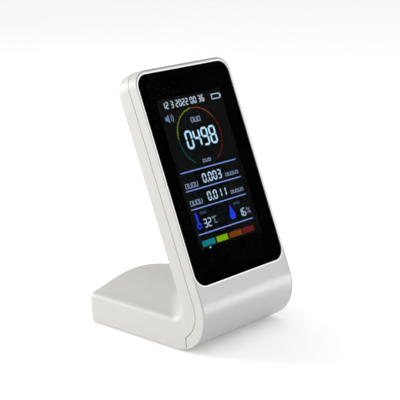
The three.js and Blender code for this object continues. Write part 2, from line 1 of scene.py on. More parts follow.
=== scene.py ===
"""Desktop air quality monitor: its looks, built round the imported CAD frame.

Lengths in this file are millimetres unless a name says otherwise. Side outlines use the monitor's own
frame: y towards the back, z up, and y = 0 on the line where the rolled chin would touch the table.
"""
import json
import math

import bmesh
import bpy
import numpy as np
from mathutils import Matrix, Vector


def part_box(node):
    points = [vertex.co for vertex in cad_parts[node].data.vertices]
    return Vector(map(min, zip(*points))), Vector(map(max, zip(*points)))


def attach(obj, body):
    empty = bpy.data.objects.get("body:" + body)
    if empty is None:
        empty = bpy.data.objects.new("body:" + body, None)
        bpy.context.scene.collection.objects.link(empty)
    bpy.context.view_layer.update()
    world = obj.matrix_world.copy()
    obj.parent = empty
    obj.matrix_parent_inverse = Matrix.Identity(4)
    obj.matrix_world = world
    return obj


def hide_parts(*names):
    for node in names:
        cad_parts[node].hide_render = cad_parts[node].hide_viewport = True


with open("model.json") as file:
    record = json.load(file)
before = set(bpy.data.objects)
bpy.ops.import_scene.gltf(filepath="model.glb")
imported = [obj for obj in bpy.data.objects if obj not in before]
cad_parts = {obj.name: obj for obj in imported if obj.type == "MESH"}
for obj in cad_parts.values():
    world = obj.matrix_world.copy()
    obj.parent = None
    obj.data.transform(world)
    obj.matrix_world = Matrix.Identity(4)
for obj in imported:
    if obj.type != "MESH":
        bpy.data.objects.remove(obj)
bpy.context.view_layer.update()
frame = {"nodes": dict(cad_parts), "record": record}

MM = 0.001
TAU = math.tau


def node_box(name):
    low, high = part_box(name)
    return np.array(low) / MM, np.array(high) / MM


# ---- Driving dimensions, the same as the CAD model's ---------------------------------------------
SHELL_LOW, SHELL_HIGH = node_box("rear_shell")
HALF = float(SHELL_HIGH[0])
LEAN = math.radians(20)
SIN, COS = math.sin(LEAN), math.cos(LEAN)
CHIN_RADIUS = 23.4
PANEL_HEIGHT = 134.4
THICKNESS = 16.7
FOOT_REAR = 76.1
FOOT_MIDDLE_HEIGHT = 25.1
FOOT_FLANK_HEIGHT = 18.9
ARCH_HALF = 34
ARCH_POWER = 1.15
SHOULDER_RADIUS = 5
BLEND_SIDE, BLEND_MIDDLE = 8, 26
CORNER_RADIUS = 9.5
PLAN_RADIUS = 3
EDGE_RADIUS = 1.2
HEEL_RADIUS = 1.8
TOP_CROWN = 0.8
WALL = 2
SEAM = 0.3
BAND = 6.8
GAP_Y = -8.3
GAP = 0.6
COVER_INSET = 0.65
COVER_THICKNESS = 2.45
LENS_HALF, LENS_LOW, LENS_HIGH, LENS_CORNER = 36.5, 9.1, 132.05, 7.5
LENS_NEAR, LENS_FAR = 0.05, 0.85
MASK_NEAR, MASK_FAR = 0.98, 1.1
ACTIVE_HALF, ACTIVE_LOW, ACTIVE_HIGH = 26, 28.2, 116.4
GLASS_NEAR = 1.4
VENT_COUNT, VENT_PITCH, VENT_FIRST, VENT_HALF, VENT_HEIGHT = 12, 3.6, 58, 18, 1.8
BUTTON_RADIUS, BUTTON_ACROSS, BUTTON_UP, BUTTON_PROUD = 4, 16, 116, 0.7
BUTTON_CLEARANCE = 0.25
SCREW_ACROSS, SCREW_UP, SCREW_RECESS, SCREW_DEPTH = 27, 128.8, 2.8, 15.25
USB_HALF, USB_HEIGHT, USB_DEPTH, USB_FLOOR = 4.5, 3.2, 7.3, 9

Y_ORIGIN = float(SHELL_HIGH[1]) - FOOT_REAR  # the side frame's origin in the row frame
Z_ORIGIN = float(SHELL_LOW[2])
FRONT_Y = -CHIN_RADIUS * COS
FRONT_Z = CHIN_RADIUS * (1 + SIN)
FRONT_ANGLE = math.pi - LEAN
REAR_SEAM = BAND + SEAM / 2
REAR_GAP_Y = GAP_Y + GAP / 2
INNER_BACK = THICKNESS - WALL
# The bead is real relief, but its near-white colour is a painted highlight for light caught on the lens's
# edge.
RIM_CENTRE, RIM_HALF, RIM_DEPTH, RIM_BULGE = 0.49, 0.39, 0.08, 0.24  # bead round the lens
SEAT_GAP, SEAT_GAP_TOP = 0.26, 0.06  # between the cover and the front shell
FRONT_END_STEP = 0.1  # the front pieces stop this much short, so the joint under the chin is wider
FRONT_GAP_Y = GAP_Y - GAP / 2 - FRONT_END_STEP


# ---- Geometry helpers ----------------------------------------------------------------------------
def to_row(points):
    """Side-frame points (x, y, z) in millimetres to row-frame metres."""
    return (np.asarray(points, float) + (0, Y_ORIGIN, Z_ORIGIN)) * MM


def at(up, depth):
    """(y, z) of a point of the upright: how far up the front face, and how far behind it."""
    return FRONT_Y + up * SIN + depth * COS, FRONT_Z + up * COS - depth * SIN


def on_panel(x, up, depth):
    y, z = at(up, depth)
    return x, y, z


def arc(y, z, radius, start, end, steps):
    angles = np.linspace(start, end, steps + 1)
    return [(y + radius * math.cos(a), z + radius * math.sin(a)) for a in angles]


def drop(x, radius, inset=0, half=None):
    """How far a rounded outline has fallen back at x, for a corner of that radius at the side."""
    past = max(0, abs(x) - ((half or HALF) - radius))
    r = radius - inset
    return r - math.sqrt(max(0, r * r - past * past))


def crown(depth):
    t = 2 * depth / THICKNESS - 1
    return TOP_CROWN * max(0, 1 - t * t)


def foot_height(x):
    across = min(1, abs(x) / ARCH_HALF)
    past = max(0, abs(x) - ARCH_HALF)
    arch = max(0, math.cos(across * math.pi / 2)) ** ARCH_POWER
    shoulder = SHOULDER_RADIUS - math.sqrt(SHOULDER_RADIUS ** 2 - past ** 2)
    return FOOT_FLANK_HEIGHT + (FOOT_MIDDLE_HEIGHT - FOOT_FLANK_HEIGHT) * arch - shoulder


def angle_at_y(radius, y):
    """Angle on an arc about the chin's centre where it crosses a given y, below the centre."""
    return math.pi + math.acos(-y / radius)


def rounded_rect(half, low, high, radius, steps=8, grow=0):
    """(x, up) points round a rectangle with rounded corners, grown outwards by `grow`."""
    r = radius + grow
    right, bottom, top = half - radius, low + radius, high - radius
    corners = ((right, bottom, -90), (right, top, 0), (-right, top, 90), (-right, bottom, 180))
    points = []
    for x, up, start in corners:
        points += arc(x, up, r, math.radians(start), math.radians(start + 90), steps)
    return points


def new_object(name, points, faces):
    mesh = bpy.data.meshes.new(name)
    mesh.from_pydata([tuple(p) for p in points], [], faces)
    work = bmesh.new()
    work.from_mesh(mesh)
    bmesh.ops.recalc_face_normals(work, faces=work.faces)
    work.to_mesh(mesh)
    work.free()
    obj = bpy.data.objects.new(name, mesh)
    bpy.context.collection.objects.link(obj)
    return obj


def loop_faces(count, size, offset=0, closed=False):
    faces = []
    for i in range(count if closed else count - 1):
        a, b = i * size, ((i + 1) % count) * size
        for j in range(size):
            k = (j + 1) % size
            faces.append((offset + a + j, offset + a + k, offset + b + k, offset + b + j))
    return faces


def body(name, loops, ring=False):
    """A closed body through loops of equal length: capped at both ends, or joined into a ring."""
    size = len(loops[0])
    faces = loop_faces(len(loops), size, closed=ring)
    if not ring:
        faces += [tuple(range(size)), tuple(range((len(loops) - 1) * size, len(loops) * size))]
    return new_object(name, to_row([p for loop in loops for p in loop]), faces)


def plate(name, outline, steps):
    """A plate on the upright. outline(grow) gives (x, up) points; steps are (grow, depth) pairs."""
    return body(name, [[on_panel(x, up, depth) for x, up in outline(grow)] for grow, depth in steps])


def panel_frame(x, up, depth):
    """Row-frame matrix of a point of the upright: local Z points out of the back."""
    place = Matrix.Translation(Vector(to_row(on_panel(x, up, depth))))
    turn = Matrix(((-1, 0, 0), (0, SIN, COS), (0, COS, -SIN))).to_4x4()
    return place @ turn


def flat_frame(x, y, z, down=True):
    place = Matrix.Translation(Vector(to_row((x, y, z))))
    return place @ Matrix.Rotation(math.pi if down else 0, 4, "X")


def lathe(name, profile, matrix, steps=48):
    """A turned body about local Z. The profile runs from the axis to the axis as (radius, height)."""
    inner = profile[1:-1]
    points = [(0, 0, profile[0][1])]
    for r, h in inner:
        for i in range(steps):
            a = TAU * i / steps
            points.append((r * math.cos(a), r * math.sin(a), h))
    points.append((0, 0, profile[-1][1]))
    faces = loop_faces(len(inner), steps, offset=1)
    last, rim = len(points) - 1, 1 + (len(inner) - 1) * steps
    for i in range(steps):
        k = (i + 1) % steps
        faces.append((0, 1 + k, 1 + i))
        faces.append((last, rim + i, rim + k))
    rows = [matrix @ Vector(np.array(p) * MM) for p in points]
    return new_object(name, rows, faces)


def bake(obj):
    """Applies the modifiers."""
    graph = bpy.context.evaluated_depsgraph_get()
    mesh = bpy.data.meshes.new_from_object(obj.evaluated_get(graph))
    obj.modifiers.clear()
    obj.data = mesh


def cut(obj, tools):
    """Cuts the tools out of a piece and removes them."""
    for tool in tools:
        step = obj.modifiers.new("cut", "BOOLEAN")
        step.operation = "DIFFERENCE"
        step.solver = "MANIFOLD"
        step.object = tool
    bake(obj)
    for tool in tools:
        bpy.data.objects.remove(tool)


def smooth(obj, angle=32):
    obj.data.shade_smooth()
    obj.data.set_sharp_from_angle(angle=math.radians(angle))
    weighted = obj.modifiers.new("weighted", "WEIGHTED_NORMAL")
    weighted.keep_sharp = True
    weighted.weight = 80


# ---- Materials -----------------------------------------------------------------------------------
def srgb(*values):
    """Display values 0-255 to linear."""
    def one(v):
        v /= 255
        return v / 12.92 if v <= 0.04045 else ((v + 0.055) / 1.055) ** 2.4
    return tuple(one(v) for v in values)


def material(name, color, roughness, metallic=0.0, **sockets):
    made = bpy.data.materials.new(name)
    made.use_nodes = True
    shader = made.node_tree.nodes["Principled BSDF"]
    shader.inputs["Base Color"].default_value = (*color, 1)
    shader.inputs["Roughness"].default_value = roughness
    shader.inputs["Metallic"].default_value = metallic
    for key, value in sockets.items():
        shader.inputs[key.replace("_", " ")].default_value = value
    return made


def add_grain(made, color, scale, spread=0.03, bump=0.0, roughness=None, detail=3):
    """Mottles the colour a little, moves the roughness and adds a moulded grain, in object space."""
    tree = made.node_tree
    nodes, links = tree.nodes, tree.links
    shader = nodes["Principled BSDF"]
    place = nodes.new("ShaderNodeTexCoord")
    broad = nodes.new("ShaderNodeTexNoise")
    broad.inputs["Scale"].default_value = scale / 30
    broad.inputs["Detail"].default_value = detail
    links.new(place.outputs["Object"], broad.inputs["Vector"])
    ramp = nodes.new("ShaderNodeMix")
    ramp.data_type = "RGBA"
    ramp.inputs["A"].default_value = (*[c * (1 - spread) for c in color], 1)
    ramp.inputs["B"].default_value = (*[min(1, c * (1 + spread)) for c in color], 1)
    links.new(broad.outputs["Fac"], ramp.inputs["Factor"])
    links.new(ramp.outputs["Result"], shader.inputs["Base Color"])
    fine = nodes.new("ShaderNodeTexNoise")
    fine.inputs["Scale"].default_value = scale
    fine.inputs["Detail"].default_value = 2
    links.new(place.outputs["Object"], fine.inputs["Vector"])
    if roughness:
        spread_rough = nodes.new("ShaderNodeMapRange")
        spread_rough.inputs["To Min"].default_value = roughness[0]
        spread_rough.inputs["To Max"].default_value = roughness[1]
        links.new(fine.outputs["Fac"], spread_rough.inputs["Value"])
        links.new(spread_rough.outputs["Result"], shader.inputs["Roughness"])
    if bump:
        relief = nodes.new("ShaderNodeBump")
        relief.inputs["Strength"].default_value = bump
        relief.inputs["Distance"].default_value = 0.00005
        links.new(fine.outputs["Fac"], relief.inputs["Height"])
        links.new(relief.outputs["Normal"], shader.inputs["Normal"])
    return made


def moulded(name, color, scale, roughness, bump=0.2, spread=0.02, metallic=0.0, **sockets):
    middle = sum(roughness) / 2
    made = material(name, color, middle, metallic, **sockets)
    return add_grain(made, color, scale, spread, bump, roughness)


def glow(name, color, strength=1.0):
    """A lit part of the display."""
    made = material(
        name, (0.002, 0.002, 0.002), 0.4, Emission_Color=(*color, 1), Emission_Strength=strength,
        Specular_IOR_Level=0.0)
    tree = made.node_tree
    place = tree.nodes.new("ShaderNodeTexCoord")
    pixel = tree.nodes.new("ShaderNodeTexNoise")
    pixel.inputs["Scale"].default_value = 900
    tree.links.new(place.outputs["Object"], pixel.inputs["Vector"])
    tone = tree.nodes.new("ShaderNodeMix")
    tone.data_type = "RGBA"
    tone.inputs["A"].default_value = (*[c * 0.9 for c in color], 1)
    tone.inputs["B"].default_value = (*color, 1)
    tree.links.new(pixel.outputs["Fac"], tone.inputs["Factor"])
    tree.links.new(tone.outputs["Result"], tree.nodes["Principled BSDF"].inputs["Emission Color"])
    return made


WHITE = moulded("white_shell", srgb(194, 193, 189), 2600, (0.42, 0.52), bump=0.12, spread=0.012)
SILVER = moulded(
    "silver_lacquer", srgb(190, 190, 190), 6000, (0.26, 0.36), bump=0.04, spread=0.02, metallic=0.7)
# Near-white bead colour, whiter than the shell: a painted highlight for the light caught on the lens's
# bevelled edge.
PAINTED_HIGHLIGHT_RIM = moulded("rim_painted_highlight", srgb(250, 250, 248), 3000, (0.2, 0.28), bump=0.02, spread=0.01)
INK = moulded("black_print", (0.0006, 0.0006, 0.0006), 2000, (0.5, 0.6), bump=0.02, Specular_IOR_Level=0.0)
DISPLAY = moulded(
    "display_glass", srgb(9, 11, 11), 800, (0.3, 0.4), bump=0.0, spread=0.15, Specular_IOR_Level=0.02)
DIFFUSER = moulded("diffuser", (0.8, 0.83, 0.85), 1500, (0.5, 0.6))
DARK = moulded("dark_plastic", (0.03, 0.032, 0.035), 2500, (0.5, 0.65))
RUBBER = moulded("rubber", (0.05, 0.05, 0.052), 1800, (0.75, 0.9), bump=0.3, spread=0.1)
STEEL = moulded("zinc_steel", (0.5, 0.5, 0.51), 3500, (0.25, 0.4), bump=0.1, metallic=1.0)
GOLD = moulded("gold_can", (0.72, 0.5, 0.16), 2500, (0.25, 0.35), metallic=1.0)
GREEN = moulded("solder_mask", (0.015, 0.11, 0.045), 900, (0.3, 0.45), spread=0.15)
AMBER = moulded("polyimide", (0.5, 0.2, 0.03), 1200, (0.3, 0.45), spread=0.1)
FOIL = moulded("battery_foil", (0.45, 0.47, 0.5), 1600, (0.35, 0.5), metallic=0.6)
JACKET = moulded("lead_jacket", (0.02, 0.02, 0.022), 2000, (0.4, 0.5))
PRINT = moulded("grey_print", srgb(120, 121, 122), 2500, (0.45, 0.55), spread=0.02)


def clear_lens():
    made = material("clear_lens", (0.96, 0.97, 0.98), 0.02, Transmission_Weight=1.0, IOR=1.03)
    tree = made.node_tree
    place = tree.nodes.new("ShaderNodeTexCoord")
    haze = tree.nodes.new("ShaderNodeTexNoise")
    haze.inputs["Scale"].default_value = 60
    tree.links.new(place.outputs["Object"], haze.inputs["Vector"])
    spread = tree.nodes.new("ShaderNodeMapRange")
    spread.inputs["To Min"].default_value = 0.0
    spread.inputs["To Max"].default_value = 0.012
    tree.links.new(haze.outputs["Fac"], spread.inputs["Value"])
    tree.links.new(spread.outputs["Result"], tree.nodes["Principled BSDF"].inputs["Roughness"])
    return made


def dust_mesh():
    """Woven mesh: two crossed waves for the threads."""
    made = material("dust_mesh", (0.03, 0.03, 0.033), 0.6)
    tree = made.node_tree
    shader = tree.nodes["Principled BSDF"]
    place = tree.nodes.new("ShaderNodeTexCoord")
    waves = []
    for direction in ("X", "Z"):
        wave = tree.nodes.new("ShaderNodeTexWave")
        wave.bands_direction = direction
        wave.inputs["Scale"].default_value = 500
        tree.links.new(place.outputs["Object"], wave.inputs["Vector"])
        waves.append(wave)
    top = tree.nodes.new("ShaderNodeMath")
    top.operation = "MAXIMUM"
    for wave, socket in zip(waves, top.inputs):
        tree.links.new(wave.outputs["Fac"], socket)
    tone = tree.nodes.new("ShaderNodeMix")
    tone.data_type = "RGBA"
    tone.inputs["A"].default_value = (0.006, 0.006, 0.007, 1)
    tone.inputs["B"].default_value = (0.06, 0.06, 0.065, 1)
    tree.links.new(top.outputs["Value"], tone.inputs["Factor"])
    tree.links.new(tone.outputs["Result"], shader.inputs["Base Color"])
    relief = tree.nodes.new("ShaderNodeBump")
    relief.inputs["Strength"].default_value = 0.6
    relief.inputs["Distance"].default_value = 0.0001
    tree.links.new(top.outputs["Value"], relief.inputs["Height"])
    tree.links.new(relief.outputs["Normal"], shader.inputs["Normal"])
    return made


def finished(obj, made, rides="housing", replaced=(), angle=32):
    """Gives a piece its surface, its body and the CAD nodes it stands for."""
    obj.data.materials.clear()
    obj.data.materials.append(made)
    if angle:
        smooth(obj, angle)
    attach(obj, rides)
    if replaced:
        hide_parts(*replaced)
    return obj


# ---- Rear shell ----------------------------------------------------------------------------------
def back_path(x, inset, wall, seam_depth, fine):
    """From the foot's rear edge, over the foot, round the inner corner, up the back, over the top."""
    top = foot_height(x) - inset
    rear = FOOT_REAR - inset - drop(x, PLAN_RADIUS, wall)
    back = THICKNESS - inset
    foot_edge = 3.2 - wall
    top_edge = 2.6 - wall
    corner_y = at((top - FRONT_Z + back * SIN) / COS, back)[0]
    radius = BLEND_SIDE + (BLEND_MIDDLE - BLEND_SIDE) * (1 - (x / HALF) ** 2) + inset
    reach = radius / math.tan((math.pi / 2 - LEAN) / 2)
    summit = PANEL_HEIGHT - inset - drop(x, CORNER_RADIUS, wall)
    points = arc(rear - foot_edge, top - foot_edge, foot_edge, 0, TAU / 4, 2 * fine)
    points += arc(corner_y + reach, top + radius, radius, TAU * 0.75, FRONT_ANGLE, 8 * fine)
    for i in range(2 * fine + 1):
        a = TAU / 4 * i / (2 * fine)
        depth = back - top_edge + top_edge * math.cos(a)
        points.append(at(summit - top_edge + top_edge * math.sin(a) + crown(depth), depth))
    start = back - top_edge
    for i in range(1, fine + 2):
        depth = start + (seam_depth - start) * i / (fine + 1)
        points.append(at(summit + crown(depth), depth))
    return points


def rear_outline(x, soft=0.25):
    inset = drop(x, EDGE_RADIUS)
    lip = drop(x, soft)
    inner = CHIN_RADIUS - REAR_SEAM - lip
    outer = CHIN_RADIUS - inset
    gap_y = REAR_GAP_Y + lip
    rear = FOOT_REAR - inset - drop(x, PLAN_RADIUS)
    points = back_path(x, inset, 0, REAR_SEAM + lip, 4)
    points += arc(0, CHIN_RADIUS, inner, FRONT_ANGLE, angle_at_y(inner, gap_y), 24)
    points += arc(0, CHIN_RADIUS, outer, angle_at_y(outer, gap_y), TAU * 0.75, 8)
    points += arc(rear - HEEL_RADIUS, inset + HEEL_RADIUS, HEEL_RADIUS, TAU * 0.75, TAU, 6)
    return [(x, y, z) for y, z in points]


def cavity_outline(x):
    inner = CHIN_RADIUS - REAR_SEAM - WALL
    front = REAR_GAP_Y + WALL
    points = back_path(x, WALL, WALL, REAR_SEAM + WALL, 1)
    points += arc(0, CHIN_RADIUS, inner, FRONT_ANGLE, angle_at_y(inner, front), 6)
    points += [(front, -1), (FOOT_REAR - WALL - drop(x, PLAN_RADIUS, WALL), -1)]
    return [(x, y, z) for y, z in points]


def stations(reach, middle_steps, corner_steps):
    """x positions across the width, close together at the rounded sides."""
    flat = HALF - CORNER_RADIUS
    middle = [flat * i / middle_steps for i in range(middle_steps + 1)]
    radius = reach - flat
    side = [flat + radius * math.sin(TAU / 4 * i / corner_steps) for i in range(1, corner_steps + 1)]
    right = middle + side
    return [-x for x in reversed(right) if x > 0] + right


def slot_cutter(up):
    low, high = up - VENT_HEIGHT / 2, up + VENT_HEIGHT / 2

    def outline(grow):
        return rounded_rect(VENT_HALF, low, high, VENT_HEIGHT / 2 - 0.01, 6, grow)
    steps = ((0, INNER_BACK - 1), (0, THICKNESS - 0.3), (0.3, THICKNESS), (0.6, THICKNESS + 0.5))
    return plate("vent_cut", outline, steps)


def hole_cutter(x, up, radius, floor, flare=0.3):
    profile = (
        (0, floor), (radius, floor), (radius, THICKNESS - flare), (radius + flare, THICKNESS),
        (radius + flare * 2, THICKNESS + flare * 2), (0, THICKNESS + flare * 2),
    )
    return lathe("hole_cut", profile, panel_frame(x, up, 0))


def port_cutter():
    low, high = USB_FLOOR - 0.4, USB_FLOOR + USB_HEIGHT + 0.4
    loops = []
    for grow, y in ((0, FOOT_REAR - 4), (0, FOOT_REAR - 0.4), (0.4, FOOT_REAR), (0.8, FOOT_REAR + 0.4)):
        loops.append([(x, y, z) for x, z in rounded_rect(USB_HALF + 0.4, low, high, 1.9, 8, grow)])
    return body("port_cut", loops)


def build_rear_shell():
    shell = body("rear_shell_fine", [rear_outline(x) for x in stations(HALF, 14, 26)])
    cavity = body("cavity", [cavity_outline(x) for x in stations(HALF - WALL, 4, 6)])

    def mouth_outline(grow):
        return rounded_rect(HALF - WALL, 2, PANEL_HEIGHT - WALL, CORNER_RADIUS - WALL, 8, grow)
    mouth = plate("mouth", mouth_outline, ((0, BAND - 2), (0, REAR_SEAM + WALL + 1)))
    cutters = [cavity, mouth, port_cutter()]
    cutters += [slot_cutter(VENT_FIRST + i * VENT_PITCH) for i in range(VENT_COUNT)]
    for side in (-1, 0, 1):
        x = side * BUTTON_ACROSS
        cutters.append(hole_cutter(x, BUTTON_UP, BUTTON_RADIUS + BUTTON_CLEARANCE, INNER_BACK - 1))
    for side in (-1, 1):
        cutters.append(hole_cutter(side * SCREW_ACROSS, SCREW_UP, SCREW_RECESS, INNER_BACK - 1))
    cut(shell, cutters)
    return finished(shell, WHITE, replaced=["rear_shell"])


# ---- Front pieces: bars bent round the chin ------------------------------------------------------
def bend(up, depth, end_y):
    """(y, z) for a height up the front; 0 to -1 runs round the chin to its end."""
    if up >= 0:
        rise = min(1, max(0, (up - 60) / (PANEL_HEIGHT - CORNER_RADIUS - 60)))
        return at(up + crown(depth) * rise, depth)
    radius = CHIN_RADIUS - depth
    angle = FRONT_ANGLE - up * (angle_at_y(radius, end_y) - FRONT_ANGLE)
    return radius * math.cos(angle), CHIN_RADIUS + radius * math.sin(angle)


def section(half, near, far, near_round, far_round, steps=5):
    """(x, depth) points round a bar's section, near corners rounded by one radius, far ones by another."""
    points = []
    for x, depth, r, start in (
        (half - near_round, near + near_round, near_round, 270),
        (half - far_round, far - far_round, far_round, 0),
        (far_round - half, far - far_round, far_round, 90),
        (near_round - half, near + near_round, near_round, 180),
    ):
        points += arc(x, depth, r, math.radians(start), math.radians(start + 90), steps)
    return points


def bent_bar(name, half, near, far, near_round, far_round, end_y, corner_steps=20, chin_steps=32, lift=0):
    inset = HALF - half
    radius = CORNER_RADIUS - inset
    top = PANEL_HEIGHT - inset + lift
    ups = [-1 + i / chin_steps for i in range(chin_steps)]
    ups += [0, 30, 60, 75, 90, 105, top - radius]
    turns = [TAU / 4 * i / corner_steps for i in range(1, corner_steps + 1)]
    ups += [top - radius + radius * math.sin(turn) for turn in turns]
    loops = []
    for up in ups:
        past = max(0, up - (top - radius))
        width = half - radius + math.sqrt(max(0, radius ** 2 - past ** 2))
        cap = [r - math.sqrt(max(0, r * r - max(0, up - (top - r)) ** 2)) for r in (near_round, far_round)]
        outline = section(width, near + cap[0], far - cap[1], near_round, far_round)
        loops.append([(x, *bend(up, depth, end_y)) for x, depth in outline])
    return body(name, loops)


def lens_outline(grow, steps=12):
    return rounded_rect(LENS_HALF, LENS_LOW, LENS_HIGH, LENS_CORNER, steps, grow)


def build_front_shell():
    shell = bent_bar("front_shell_fine", HALF, 0.05, BAND - SEAM / 2, 0.25, 0.25, FRONT_GAP_Y)
    seat = bent_bar(
        "seat", HALF - COVER_INSET + SEAT_GAP, -3, COVER_THICKNESS + 0.25, 0.05, 0.05,
        FRONT_GAP_Y + 3, lift=SEAT_GAP_TOP - SEAT_GAP)
    inside = bent_bar(
        "inside", HALF - WALL, COVER_THICKNESS + 1.75, BAND + 2, 0.5, 0.5, FRONT_GAP_Y - WALL, 12, 24)

    def window(grow):
        return rounded_rect(29.2, 24.2, 121.5, 1, 4, grow)
    opening = plate("opening", window, ((0, 0), (0, 9)))
    cut(shell, [seat, inside, opening])
    return finished(shell, WHITE, replaced=["front_shell"])


def build_front_cover():
    cover = bent_bar(
        "front_cover_fine", HALF - COVER_INSET, 0, COVER_THICKNESS, 0.2, 0.15, FRONT_GAP_Y)
    pocket = plate("pocket", lens_outline, ((0.14, MASK_FAR + 0.2), (0.14, -0.5)))
    window = plate("window", lens_outline, ((-2, -1), (-2, 5)))
    cut(cover, [pocket, window])
    return finished(cover, SILVER, replaced=["front_cover"])


def build_rim():
    """Narrow bead round the lens. Its near-white colour is a painted highlight for the light caught on the
    lens's polished edge.
    """
    loops = []
    for i in range(12):
        a = TAU * i / 12
        grow = RIM_CENTRE + RIM_HALF * math.cos(a)
        loops.append([on_panel(x, up, RIM_DEPTH - RIM_BULGE * math.sin(a)) for x, up in lens_outline(grow)])
    rim = body("lens_rim", loops, ring=True)
    return finished(rim, PAINTED_HIGHLIGHT_RIM, angle=60)


# ---- Display -------------------------------------------------------------------------------------
def build_lens():
    lens = plate(
        "display_lens_fine", lens_outline,
        ((-0.12, LENS_NEAR), (-0.04, LENS_NEAR + 0.04), (0, LENS_NEAR + 0.12), (0.06, LENS_FAR)))
    finished(lens, clear_lens(), replaced=["display_lens"])
    loops = []
    for grow, depth in ((0.06, MASK_NEAR), (0.06, MASK_FAR)):
        loops.append([on_panel(x, up, depth) for x, up in lens_outline(grow)])
    for depth in (MASK_FAR, MASK_NEAR):
        window = rounded_rect(ACTIVE_HALF, ACTIVE_LOW, ACTIVE_HIGH, 0.5, 12)
        loops.append([on_panel(x, up, depth) for x, up in window])
    mask = body("display_mask_fine", loops, ring=True)
    finished(mask, INK, replaced=["display_mask"], angle=30)


SEGMENTS = {
    "0": "abcdef", "1": "bc", "2": "abged", "3": "abgcd", "4": "fgbc", "5": "afgcd",
    "6": "afgedc", "7": "abc", "8": "abcdefg", "9": "abcdfg",
}


def bar(x0, y0, x1, y1, stroke):
    """A stroke with pointed ends, as display segments have."""
    along = Vector((x1 - x0, y1 - y0)).normalized()
    side = Vector((-along.y, along.x)) * stroke / 2
    tip = along * stroke / 2
    a, b = Vector((x0, y0)), Vector((x1, y1))
    corners = (a, a + tip - side, b - tip - side, b, b - tip + side, a + tip + side)
    return [tuple(c) for c in corners]


def digit(value, x, y, width, height, stroke):
    """Seven-segment figure with its lower left corner at x, y."""
    gap = stroke * 0.12
    left, right = x + stroke / 2, x + width - stroke / 2
    low, mid, high = y + stroke / 2, y + height / 2, y + height - stroke / 2
    ends = {
        "a": (left, high, right, high), "g": (left, mid, right, mid), "d": (left, low, right, low),
        "f": (left, mid, left, high), "e": (left, low, left, mid),
        "b": (right, mid, right, high), "c": (right, low, right, mid),
    }
    shapes = []
    for name in SEGMENTS[value]:
        x0, y0, x1, y1 = ends[name]
        dx, dy = (gap, 0) if y0 == y1 else (0, gap)
        shapes.append(bar(x0 + dx, y0 + dy, x1 - dx, y1 - dy, stroke))
    return shapes


def number(text, x, y, width, height, stroke, pitch):
    """Figures in a row. A space moves on by half a place and a point is a small square."""
    shapes = []
    for c in text:
        if c == " ":
            x += pitch * 0.45
        elif c == ".":
            x -= (pitch - width) * 0.3
            shapes.append(box_shape(x, y, x + stroke, y + stroke))
            x += stroke + (pitch - width) * 0.7
        else:
            shapes += digit(c, x, y, width, height, stroke)
            x += pitch
    return shapes


def box_shape(x0, y0, x1, y1):
    return [(x0, y0), (x1, y0), (x1, y1), (x0, y1)]


def disc_shape(x, y, radius, steps=20):
    return arc(x, y, radius, 0, TAU * (1 - 1 / steps), steps - 1)


def ring_shapes(x, y, radius, stroke, start=0, sweep=TAU, steps=24):
    """A ring or part of one, as short quads."""
    shapes = []
    for i in range(steps):
        a0, a1 = start + sweep * i / steps, start + sweep * (i + 1) / steps
        inner, outer = radius - stroke / 2, radius + stroke / 2
        shapes.append([
            (x + r * math.cos(a), y + r * math.sin(a))
            for r, a in ((inner, a0), (outer, a0), (outer, a1), (inner, a1))])
    return shapes


def dashes(x, y, width, height, count, stroke):
    """A word-sized run of plain blocks, which stands for a caption without spelling anything."""
    shapes = []
    pitch = width / count
    for i in range(count):
        left, right = x + i * pitch, x + (i + 1) * pitch - stroke * 0.9
        low, high = y, y + height
        shapes += [box_shape(left, low, left + stroke, high), box_shape(right - stroke, low, right, high)]
        if i % 2 == 0:
            shapes.append(box_shape(left, high - stroke, right, high))
        shapes.append(box_shape(left, low, right, low + stroke))
    return shapes


def graphic(name, shapes, color, strength=1.0):
    """Thin lit solids on the display glass."""
    near, far = GLASS_NEAR - 0.1, GLASS_NEAR - 0.05
    points, faces = [], []
    for shape in shapes:
        start, size = len(points), len(shape)
        points += [on_panel(x, up, near) for x, up in shape] + [on_panel(x, up, far) for x, up in shape]
        faces.append(tuple(range(start, start + size)))
        faces.append(tuple(range(start + size, start + 2 * size)))
        faces += loop_faces(2, size, offset=start)
    obj = new_object(name, to_row(points), faces)
    return finished(obj, glow(name + "_light", srgb(*color), strength), angle=0)


PALE_BLUE = (190, 232, 255)
SOFT_BLUE = (128, 160, 235)
DEEP_BLUE = (32, 62, 225)
TEAL = (20, 122, 135)
LIME = (122, 172, 8)
ORANGE = (120, 58, 12)
DARK_RED = (98, 30, 26)


def build_header():
    shapes = number("12 3 2022 00 36", -22.2, 110.4, 2.1, 4.1, 0.55, 2.65)
    graphic("display_clock", shapes, (205, 228, 245), 0.9)
    stroke, x0, x1, y0, y1 = 0.45, 17.3, 24.4, 110.4, 113.6
    cell = [
        box_shape(x0, y0, x1, y0 + stroke), box_shape(x0, y1 - stroke, x1, y1),
        box_shape(x0, y0, x0 + stroke, y1),
        box_shape(x1 - stroke, y0, x1, y1), box_shape(x1, y0 + 1, x1 + 0.7, y1 - 1),
    ]
    graphic("display_cell", cell, (205, 228, 245), 0.9)
    speaker = [
        box_shape(-22.8, 103.7, -21.6, 105.9),
        [(-21.5, 103.7), (-19.9, 102.3), (-19.9, 107.3), (-21.5, 105.9)],
    ]
    for radius in (1.6, 2.9):
        speaker += ring_shapes(-19.6, 104.8, radius, 0.5, math.radians(-50), math.radians(100), 10)
    graphic("display_speaker", speaker, (120, 140, 185), 0.9)


